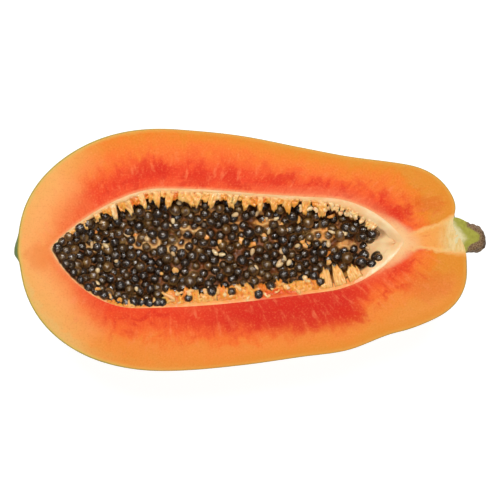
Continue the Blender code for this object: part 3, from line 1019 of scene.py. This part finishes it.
def make_seeds(look):
    """The spread seeds and the placed ones as one piece. Returns all their middles."""
    rng = np.random.default_rng(5)
    spread = spread_seeds(look.count, SEEDS_APART * (look.length + look.width) / 2 / MM, 7)
    by_rim, _ = rim_place(RIM_SEEDS, NEAR, 2.5 + rng.uniform(0, 0.9, len(RIM_SEEDS)))
    by_rim = np.column_stack((by_rim, rng.uniform(-3.3, -2.7, len(by_rim))))
    middles = np.concatenate((spread, by_rim, np.array(CUPPED_SEEDS + LAST_SEEDS)))
    count = len(middles)
    sizes = np.tile((look.length, look.width, look.width), (count, 1))
    sizes = sizes / 2 / MM * rng.normal(1.0, 0.085, (count, 1)) * rng.normal(1.0, 0.05, (count, 3))
    points = ovoids(rng, middles, sizes, 0.7, 0.08)
    points[..., 2] = np.minimum(points[..., 2], SEEDS_TOP)
    black = rng.uniform(size=count) < BLACK_SHARE
    tone = np.where(black, rng.uniform(0, 0.15, count), rng.beta(1.2, 2.0, count))
    tone[len(spread) :] *= 0.45
    # Each seed's axis leans near the upright, so the finish's painted reflection lies on its top and its
    # painted light through the sac on its sides.
    axis = unit(rng.normal(size=(count, 3)) * 0.22 + (0, 0.1, 1))
    outwards = unit(points - middles[:, None, None, :])
    facing = np.clip(np.abs(np.einsum("nrsk,nk->nrs", outwards, axis)), 0, 1)
    warm = rng.uniform(0, 1, count) ** 2
    values = {"side": np.sqrt(1 - facing**2), "tone": tone[:, None, None], "warm": warm[:, None, None]}
    add_piece("seeds", points, (seed_finish(look),), values)
    return middles


def unripe_finish(look):
    """Seeds that stayed pale: cream to tan, a little see-through, and wet."""
    made = Finish("unripe_seeds", 0.4, 0.4, coat=(0.5, 0.1))
    mottle = made.noise(1.2)
    made.colour = made.mix(made.attribute("tone"), look.unripe_colour, (206, 158, 104))
    made.lay(mottle.rise(0.45, 0.75) * 0.5, (250, 228, 184))
    return made.done(None, mottle, 0.2, 0.4)


def make_unripe_seeds(look):
    """Small long pale seeds, scattered over the others."""
    rng = np.random.default_rng(31)
    count = look.unripe
    x = rng.uniform(-98, 74, count)
    y = across_seeds(rng, x)
    z = np.minimum(seed_level(x, y) + rng.uniform(-1.2, 0.8, count), -1.7)
    sizes = drawn_sizes(rng, count, (1.5, 2.5), (0.9, 1.5), (0.9, 1.4))
    points = ovoids(rng, np.column_stack((x, y, z)), sizes, 0.5, 0.22)
    values = {"tone": rng.beta(1.2, 2.2, count)[:, None, None]}
    add_piece("unripe_seeds", points, (unripe_finish(look),), values)


# --- The fringe ---
@dataclass(frozen=True)
class Drapes:
    """Lobes of placenta that hang from a stretch of the rim. A pair gives the least and the most."""

    side: float
    stretch: tuple
    count: int
    half_width: tuple
    length: tuple
    swell: tuple
    tone: tuple  # 0 is cream and 1 is orange
    fibres: float = 0.0  # how deep they are grooved lengthwise
    lean: float = 0.12  # how far their tips lie to one side, for their length


DRAPES = (
    Drapes(FAR, (-106, -84), 6, (1.3, 2.2), (2.0, 4.6), (0.5, 0.9), (0.1, 0.45)),
    Drapes(FAR, (-82, 42), 15, (1.8, 3.0), (6.4, 10.4), (0.9, 1.5), (0.1, 0.55)),
    Drapes(FAR, (-84, 44), 25, (2.2, 4.0), (3.0, 6.6), (0.6, 1.2), (0.2, 0.85)),
    Drapes(FAR, (42, 78), 13, (1.2, 2.4), (2.4, 5.0), (0.7, 1.2), (0.0, 0.3)),
    Drapes(NEAR, (-86, -52), 9, (1.6, 3.0), (1.4, 2.8), (0.4, 0.8), (0.3, 0.8)),
    Drapes(NEAR, (-50, 40), 15, (2.0, 3.8), (6.4, 9.4), (0.8, 1.5), (0.35, 0.8)),
    Drapes(NEAR, (-50, 40), 14, (3.2, 5.5), (4.4, 6.6), (0.7, 1.3), (0.35, 0.75)),
    Drapes(NEAR, (46.0, 46.0), 1, (3.9, 3.9), (11.0, 11.0), (2.3, 2.3), (0.3, 0.3), 0.45, 0.0),
    Drapes(NEAR, (54.6, 54.6), 1, (3.8, 3.8), (11.6, 11.6), (2.3, 2.3), (0.3, 0.3), 0.45, 0.0),
    Drapes(NEAR, (64.0, 64.0), 1, (4.2, 4.2), (8.6, 8.6), (2.0, 2.0), (0.3, 0.3), 0.40, 0.0),
)
FRINGE_COLUMNS, FRINGE_TOP, FRINGE_UNDER = 1500, 12, 5


def lobes(rng):
    """The drapes' lobes as columns: side, middle, half width, length, swell, tone, fibres, lean and sink."""
    rows = []
    for group in DRAPES:
        n = group.count
        middle = np.linspace(*group.stretch, n) + rng.normal(0, 1.2, n) * (n > 1)
        drawn = drawn_sizes(rng, n, group.half_width, group.length, group.swell, group.tone)
        lean = rng.normal(0, 1, n) * group.lean
        sink = rng.uniform(0, 1.3, n) * (n > 1)
        side, fibres = np.full(n, group.side), np.full(n, group.fibres)
        rows.append(np.column_stack((side, middle, drawn, fibres, lean, sink)))
    return np.concatenate(rows)


def cups(place):
    """How much the fringe rises round the cupped seeds, as a ring, and sinks under each, as a pit."""
    away = np.min([np.hypot(place[..., 0] - cx, place[..., 1] - cy) for cx, cy, _ in CUPPED_SEEDS], axis=0)
    return np.exp(-(((away - 3.4) / 0.8) ** 2)) - 2.2 * np.exp(-((away / 2.4) ** 4))


def fringe_surface(rng):
    """The fringe as one ring of a grid: out from the rim over each lobe to its tip, and back below it.

    The reach in from the rim is the longest that any lobe has there: its length times
    (1 - s^5)^(1/2), with s the distance from its middle line in half widths. It domes by its swell
    times (1 - s^4)^(1/2), and falls with the share of its reach to the power 1.4.
    """
    turn = even_turns(CAVITY, FRINGE_COLUMNS)
    width, drop, _ = band(turn)
    edge = shell(CAVITY, turn, np.zeros((1, 1)))[0]
    inwards = -outward(edge[:, :2])
    tangent = np.stack((-inwards[:, 1], inwards[:, 0]), axis=-1)
    is_far = np.sin(turn) >= 0
    table = lobes(rng)
    s = np.abs((edge[:, 0, None] - table[:, 1]) / table[:, 2])
    s += 9 * (np.where(is_far, FAR, NEAR)[:, None] != table[:, 0])
    reaches = table[:, 3] * np.sqrt(np.clip(1 - s**5, 0, 1))
    best = np.argmax(reaches, axis=1)
    s = np.minimum(s[np.arange(len(s)), best], 1)
    reach = reaches.max(axis=1)
    _, middle, _, _, swell, tone, fibres, lean, sink = table[best].T
    length = 0.4 + reach * (1 + 0.13 * waves(edge[:, :2], 2.2, 61))
    swell = swell * np.sqrt(1 - s**4)
    phase = (edge[:, 0] - middle) * 2 * math.pi / 1.7

    fall = np.where(is_far, 0.20, 0.06)
    on_band = np.where(is_far, 0.9, np.maximum(width * 0.62, 0.9))
    root = np.where(is_far, -0.14, -0.42) - drop * (1 - on_band / width) ** 1.6 - 0.7 * rise(length, 1.4, 0.4)

    def over(u):
        """Places at the shares u of the reach, and their height without the dome."""
        step = width - on_band + length * u
        flat = edge[:, :2] + inwards * step[..., None] + tangent * (lean * length * u)[..., None]
        return flat, root - fall * length * u**1.4 - sink * rise(length * u, 0.2, 2.0)

    u = np.linspace(0, 1, FRINGE_TOP)[:, None]
    flat, base = over(u)
    dome = (1 - (1 - u) ** 3) * np.sqrt(np.clip(1 - u**4, 0, 1))
    lumps = 0.5 * waves(flat, 2.6, 64) + 0.25 * waves(flat, 1.3, 65)
    near = np.where(is_far, 0, rise(length, 1.0, 2.5))
    ribs = np.cos(phase + 1.6 * waves(flat, 5, 66)) * fibres * (1 + 0.5 * lumps)
    plain = np.where(is_far, 0.5, near) * (fibres == 0)
    top = base + dome * (swell * (1 + lumps * (1 + 0.5 * plain)) + ribs + 0.9 * near * cups(flat))
    back = np.linspace(1, 0, FRINGE_UNDER + 1)[1:, None]
    flat_under, base_under = over(back)
    under = base_under - 0.5 - 0.9 * (1 - back**3) * (0.4 + swell)
    upper = np.dstack((flat, np.minimum(top, -0.05)))
    # Where painted shade goes in the creases between ribs and lumps; the underside takes it fully.
    crease_shade = np.clip(-ribs * 1.2 - lumps * (0.5 + 0.9 * plain), 0, 1)
    values = {
        "tone": tone,
        "along": np.concatenate((u, back, u[:1])),
        # border marks where painted shade goes: along a lobe's sides, and fully on the rim between lobes.
        "border": np.where(reach > 0, s**4, 1.0),
        "groove": np.concatenate((crease_shade, np.ones((FRINGE_UNDER, FRINGE_COLUMNS)), crease_shade[:1])),
    }
    return np.concatenate((upper, np.dstack((flat_under, under)), upper[:1])), values


def fringe_finish():
    """Moist lobes of placenta: cream at their roots, then peach or golden, with painted shade of darker
    orange in their creases and underneath, and brown along and between them.
    """
    made = Finish("placenta_fringe", 0.38, 0.4, coat=(0.3, 0.12), scatter=(0.25, 2.0))
    lump = made.noise(1.6, detail=3)
    tone = made.attribute("tone") + (lump - 0.5) * 0.5 + (made.noise(6) - 0.5) * 0.5
    pale = ((0.0, 253, 212, 152), (0.25, 253, 194, 108), (0.55, 250, 168, 62))
    made.colour = made.ramp(tone, *pale, (0.85, 238, 126, 30), (1.0, 206, 84, 16))
    made.lay(made.attribute("along").rise(0.35, 0.0) * made.axis("Y").rise(-5, 8) * 0.6, (253, 200, 142))
    made.lay(wet_patch(made, lump), made.mix(lump, (228, 50, 12), (246, 116, 36)))
    # Painted shade: brown along the lobes' sides and between them.
    made.lay(made.attribute("border").rise(0.35, 0.95) * 0.85, (140, 62, 20))
    # Painted shade: darker orange in the creases and under the lobes.
    made.lay(made.attribute("groove") * 0.85, (212, 112, 38))
    return made.done(0.26 + lump * 0.25, lump, 0.35, 0.5)


def make_fringe():
    points, values = fringe_surface(np.random.default_rng(9))
    add_piece("placenta_fringe", points, (fringe_finish(),), values)


# --- Strands ---
@dataclass(frozen=True)
class Tuft:
    """Strands along a stretch of the rim. A pair gives the least and the most."""

    side: float
    stretch: tuple
    count: int
    inset: tuple  # where they are rooted, in from the cavity's edge
    length: tuple
    width: tuple  # half of the width
    tone: tuple  # 0 is cream and 1 is orange
    fan: float = 0.3  # how far their headings stray from straight in
    curl: float = 0.4  # how far they swing sideways
    lift: float = 0.0  # how high they arch
    fall: float = 0.35  # how far they fall for their length


TUFTS = (
    Tuft(FAR, (-90, 40), 9, (2.0, 3.4), (3.0, 6.0), (0.4, 0.7), (0.0, 0.4), 1.0, 1.0, 0.5),
    Tuft(NEAR, (-92, -42), 8, (1.6, 3.0), (2.6, 4.4), (0.6, 1.1), (0.2, 0.6), 1.0, 1.2, 0.6, 0.2),
    Tuft(NEAR, (-48, 36), 13, (3.0, 6.4), (3.4, 6.0), (0.6, 1.1), (0.1, 0.5), 1.3, 2.0, 0.7, 0.1),
    Tuft(NEAR, (-44, 34), 9, (3.0, 8.0), (2.6, 4.2), (0.9, 1.4), (0.0, 0.25), 0.8, 0.3, 0.4, 0.05),
)
STRAND_ROWS, STRAND_SIDES = 9, 8


def tuft_paths(tuft, rng):
    """Centre lines of a tuft's strands.

    Each starts at its root and goes along its heading. It swings sideways as a sine, arches as half a
    sine and falls with the share of its length to the power 1.4.
    """
    count = tuft.count
    x = rng.permutation(np.linspace(*tuft.stretch, count)) + rng.normal(0, 0.8, count)
    place, inwards = rim_place(x, tuft.side, rng.uniform(*tuft.inset, count))
    stray = rng.normal(0, tuft.fan, count)
    cos, sin = np.cos(stray), np.sin(stray)
    across, deep = inwards.T
    heading = np.column_stack((across * cos - deep * sin, across * sin + deep * cos))
    sideways = np.column_stack((-heading[:, 1], heading[:, 0]))
    length = rng.uniform(*tuft.length, count)
    u = np.linspace(0, 1, STRAND_ROWS)
    swing = rng.normal(0, tuft.curl, count)[:, None] * np.sin(u * rng.uniform(2.5, 5.5, count)[:, None])
    level = place[:, None] + heading[:, None] * (length[:, None] * u)[..., None]
    level += sideways[:, None] * swing[..., None]
    root = np.full(count, -1.8 if tuft.side == FAR else -0.8) - 0.4 * rng.uniform(0, 1, count)
    down = root[:, None] - (tuft.fall * length)[:, None] * u**1.4 + tuft.lift * np.sin(math.pi * u)
    width = rng.uniform(*tuft.width, count)
    return np.dstack((level, down)), width, rng.uniform(*tuft.tone, count)


def strand_finish():
    """Moist strands of placenta, cream to orange, more so towards their tips."""
    made = Finish("placenta_strands", 0.38, 0.4, coat=(0.35, 0.12), scatter=(0.25, 2.0))
    lump = made.noise(1.5, detail=3)
    tone = made.attribute("tone") + (lump - 0.5) * 0.35 + (made.noise(7) - 0.5) * 0.25
    pale = ((0.0, 253, 212, 160), (0.3, 252, 190, 118), (0.6, 248, 166, 76))
    orange = ((0.85, 236, 130, 40), (1.0, 204, 86, 22))
    made.colour = made.ramp(tone + made.attribute("along") * 0.12, *pale, *orange)
    return made.done(0.26 + lump * 0.25, lump, 0.35, 0.5)


def make_strands():
    """All tufts as one piece: flattened tubes with blunt ends, each a little lumpy."""
    rng = np.random.default_rng(17)
    drawn = [tuft_paths(tuft, rng) for tuft in TUFTS]
    paths, widths, tones = (np.concatenate(part) for part in zip(*drawn))
    u = np.linspace(0, 1, STRAND_ROWS)
    lumps = 1 + 0.22 * np.sin(u * 9 + rng.uniform(0, 6, len(widths))[:, None])
    half = widths[:, None] * np.sqrt(1 - np.abs(2 * u - 1) ** 5) * lumps
    half[:, [0, -1]] = 0
    points = sweep(paths, half, half * 0.62, STRAND_SIDES)
    points[..., 2] = np.minimum(points[..., 2], -0.04)
    values = {"tone": tones[:, None, None], "along": u[:, None]}
    add_piece("placenta_strands", points, (strand_finish(),), values)


def make_scraps():
    """Small pale beads along the far rim near the stem, and golden scraps of pulp among the seeds."""
    rng = np.random.default_rng(23)
    beads, scraps = 26, 34
    place, _ = rim_place(rng.uniform(30, 77, beads), FAR, rng.uniform(4.0, 8.0, beads))
    bead_middles = np.column_stack((place, -2.4 - rng.uniform(0, 1.6, beads)))
    bead_sizes = drawn_sizes(rng, beads, (1.4, 2.3), (1.0, 1.6), (0.9, 1.3))
    x = -100 + 176 * rng.beta(1.5, 1.1, scraps)
    y = across_seeds(rng, x)
    scrap_middles = np.column_stack((x, y, seed_level(x, y) - rng.uniform(2.0, 4.6, scraps)))
    scrap_sizes = drawn_sizes(rng, scraps, (1.3, 3.0), (1.0, 2.2), (0.5, 0.9))
    sizes = np.concatenate((bead_sizes, scrap_sizes))
    points = ovoids(rng, np.concatenate((bead_middles, scrap_middles)), sizes, 0.4, 0.15)
    ruffle = np.stack([waves(points, 2.0, seed) for seed in (41, 42, 43)], axis=-1)
    points += 0.22 * ruffle * (sizes[:, None, None, :1] / 2)
    points[..., 2] = np.minimum(points[..., 2], -0.04)
    tones = np.concatenate((rng.uniform(0.0, 0.2, beads), rng.uniform(0.35, 0.8, scraps)))
    values = {"tone": tones[:, None, None], "along": np.zeros((1, 1))}
    add_piece("pulp_scraps", points, (strand_finish(),), values)


# --- The stem ---
STEM_ROWS, STEM_SIDES = 60, 64


def stem_surface():
    """The stem as a tube whose place and radius run smoothly through the stations, cut level on top."""
    at = np.linspace(0, len(STEM_STATIONS) - 1, STEM_ROWS)
    stations = np.arange(len(STEM_STATIONS))
    along, across, drop, radius = (smooth_through(at, stations, column) for column in zip(*STEM_STATIONS))
    radius = np.maximum(radius, 0)
    radius[[0, -1]] = 0
    middle = np.column_stack((along, across, -drop))
    points = sweep(middle[None], radius[None], radius[None], STEM_SIDES)[0]
    bark = (rise(along, 124, 130) * (radius > 0))[:, None, None]
    points += unit(points - middle[:, None]) * (0.28 * bark * waves(points, 3.0, 51)[..., None])
    top = -0.1 - 1.6 * rise(points[..., 0], 121.5, 118.0) - 0.08 * np.abs(waves(points[..., :2], 3, 52))
    points[..., 2] = np.minimum(points[..., 2], top)
    points[..., 0] = np.minimum(points[..., 0], 140.7)
    return points


def stem_finish():
    """Cut stem: pale fibres where it leaves the flesh, then green, then brown netted bark at its tip,
    darkened towards its end by painted shade.
    """
    made = Finish("papaya_stem", 0.6, 0.25)
    x, y = made.axis("X"), made.axis("Y")
    lump = made.noise(2.2, detail=3)
    fine = made.noise(0.7, detail=3)
    sway = (lump - 0.5) * 5
    made.colour = made.mix(fine, (214, 196, 140), (236, 222, 172))
    outwards = abs(y - 7.4 + (x - 124) * 0.1)
    made.lay((x + outwards * 0.9 + sway).rise(126, 131), made.mix(lump, (134, 126, 30), (186, 184, 74)))
    bark = (x - abs(y - 7.8).rise(7.0, 0.8) * 7.5 + sway).rise(127.4, 129.8)
    net = made.cells(1.5, "DISTANCE_TO_EDGE").rise(0.20, 0.03)
    brown = made.mix(net * 0.6, made.mix(lump, (82, 60, 38), (134, 100, 68)), (168, 138, 102))
    # Painted shade: the bark darkens towards the stem's far end.
    made.lay(bark, made.mix(x.rise(136.5, 140.5) * 0.6, brown, (62, 44, 30)))
    made.lay((CUT_HEIGHT - made.axis("Z")).rise(0.5, 2.2) * (1 - bark) * 0.8, (96, 98, 38))
    return made.done(None, lump * 0.4 + net * bark * 0.4 + fine * 0.2, 0.5, 0.7)


def make_stem():
    add_piece("stem_stub", stem_surface(), (stem_finish(),), {}, "stem")


# --- The stage ---
# The softboxes: (name, place in metres, share of the lamp power).
LAMPS = (
    ("left", (-0.24, 0.42, 1.20), 1.05),
    ("right", (0.22, 0.40, 1.22), 0.95),
    ("near", (-0.04, -0.40, 1.25), 0.45),
)
FLOOR_SIDE = 12.0  # metres each way


def add_object(name, data, place=(0, 0, 0)):
    """Puts an object on the stage."""
    made = bpy.data.objects.new(name, data)
    made.location = place
    bpy.context.scene.collection.objects.link(made)
    return made


def make_floor(look):
    """A plain pale floor that shines a little of its own."""
    mesh = bpy.data.meshes.new("floor")
    corners = [(-1, -1, 0), (1, -1, 0), (1, 1, 0), (-1, 1, 0)]
    mesh.from_pydata([(x * FLOOR_SIDE, y * FLOOR_SIDE, z) for x, y, z in corners], [], [(0, 1, 2, 3)])
    finish = Finish("floor", 0.8, 0.1)
    finish.surface["Base Color"].default_value = tuple(look.floor)
    finish.surface["Emission Color"].default_value = (1, 1, 1, 1)
    finish.surface["Emission Strength"].default_value = 0.88
    mesh.materials.append(finish.material)
    add_object("floor", mesh)


def make_sky():
    """White light from all round, weaker from straight above."""
    world = bpy.data.worlds.new("studio")
    world.use_nodes = True
    bpy.context.scene.world = world
    sky = Nodes(world.node_tree)
    direction = sky.node("ShaderNodeTexCoord", output="Generated")
    upwards = sky.node("ShaderNodeSeparateXYZ", {}, {0: direction}, "Z")
    light = sky.node("ShaderNodeMapRange", {}, {"Value": upwards, "To Min": 0.25, "To Max": 0.05})
    background = world.node_tree.nodes["Background"].inputs
    background["Color"].default_value = (1, 1, 1, 1)
    sky.feed(background["Strength"], light)


def make_lamps(look):
    """Square softboxes that face the middle of the cut face."""
    for name, place, share in LAMPS:
        light = bpy.data.lights.new("softbox_" + name, "AREA")
        light.energy = look.lamp_power * share
        light.size = look.lamp_size
        towards = Vector((0, 0, CUT_HEIGHT * MM)) - Vector(place)
        lamp = add_object("softbox_" + name, light, place)
        lamp.rotation_euler = towards.to_track_quat("-Z", "Y").to_euler()


def make_camera(look):
    """A camera straight above, as far away as its lens needs for the view's width."""
    camera = bpy.data.cameras.new("camera")
    camera.lens = look.lens
    camera.sensor_width = 36.0
    distance = look.lens / camera.sensor_width * look.view
    bpy.context.scene.camera = add_object("camera", camera, (0, 0, CUT_HEIGHT * MM + distance))
    bpy.context.scene.view_settings.view_transform = "Standard"


# --- The add-on ---
class PAPAYA_OT_stage(Operator):
    """Makes the floor, the light and the camera"""

    bl_idname = "papaya.stage"
    bl_label = "Stage"

    def execute(self, context):
        look = context.scene.papaya_stage
        make_floor(look)
        make_sky()
        make_lamps(look)
        make_camera(look)
        return {"FINISHED"}


class PAPAYA_OT_flesh(Operator):
    """Makes the flesh with its skin"""

    bl_idname = "papaya.flesh"
    bl_label = "Flesh and Skin"

    def execute(self, context):
        make_flesh(context.scene.papaya_flesh)
        return {"FINISHED"}


class PAPAYA_OT_lining(Operator):
    """Makes the pale lining of the cavity"""

    bl_idname = "papaya.lining"
    bl_label = "Lining"

    def execute(self, context):
        make_lining(context.scene.papaya_flesh)
        return {"FINISHED"}


class PAPAYA_OT_seeds(Operator):
    """Makes the seeds and the bed they sit in"""

    bl_idname = "papaya.seeds"
    bl_label = "Seeds and Bed"

    def execute(self, context):
        look = context.scene.papaya_seeds
        middles = make_seeds(look)
        make_unripe_seeds(look)
        make_bed(middles)
        return {"FINISHED"}


class PAPAYA_OT_strands(Operator):
    """Makes the fringe, the strands and the scraps of placenta round the seeds"""

    bl_idname = "papaya.strands"
    bl_label = "Strands and Scraps"

    def execute(self, context):
        make_fringe()
        make_strands()
        make_scraps()
        return {"FINISHED"}


class PAPAYA_OT_stem(Operator):
    """Makes the stub of the stem"""

    bl_idname = "papaya.stem"
    bl_label = "Stem"

    def execute(self, context):
        make_stem()
        return {"FINISHED"}


class PAPAYA_PT_panel(Panel):
    """Lists the pieces in the sidebar"""

    bl_idname = "PAPAYA_PT_panel"
    bl_label = "Papaya Half"
    bl_space_type = "VIEW_3D"
    bl_region_type = "UI"
    bl_category = "Papaya"

    def draw(self, context):
        for operator in OPERATORS:
            self.layout.operator(operator.bl_idname)


OPERATORS = (
    PAPAYA_OT_stage,
    PAPAYA_OT_flesh,
    PAPAYA_OT_lining,
    PAPAYA_OT_seeds,
    PAPAYA_OT_strands,
    PAPAYA_OT_stem,
)
SETTINGS = {"papaya_flesh": FleshSettings, "papaya_seeds": SeedSettings, "papaya_stage": StageSettings}


register_classes, unregister_classes = bpy.utils.register_classes_factory(
    (*SETTINGS.values(), *OPERATORS, PAPAYA_PT_panel)
)


def register():
    register_classes()
    for name, group in SETTINGS.items():
        setattr(bpy.types.Scene, name, PointerProperty(type=group))


def unregister():
    for name in SETTINGS:
        delattr(bpy.types.Scene, name)
    unregister_classes()


def main():
    """Registers the add-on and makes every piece."""
    register()
    bpy.ops.papaya.stage()
    bpy.ops.papaya.flesh()
    bpy.ops.papaya.lining()
    bpy.ops.papaya.seeds()
    bpy.ops.papaya.strands()
    bpy.ops.papaya.stem()


if __name__ == "__main__":
    main()
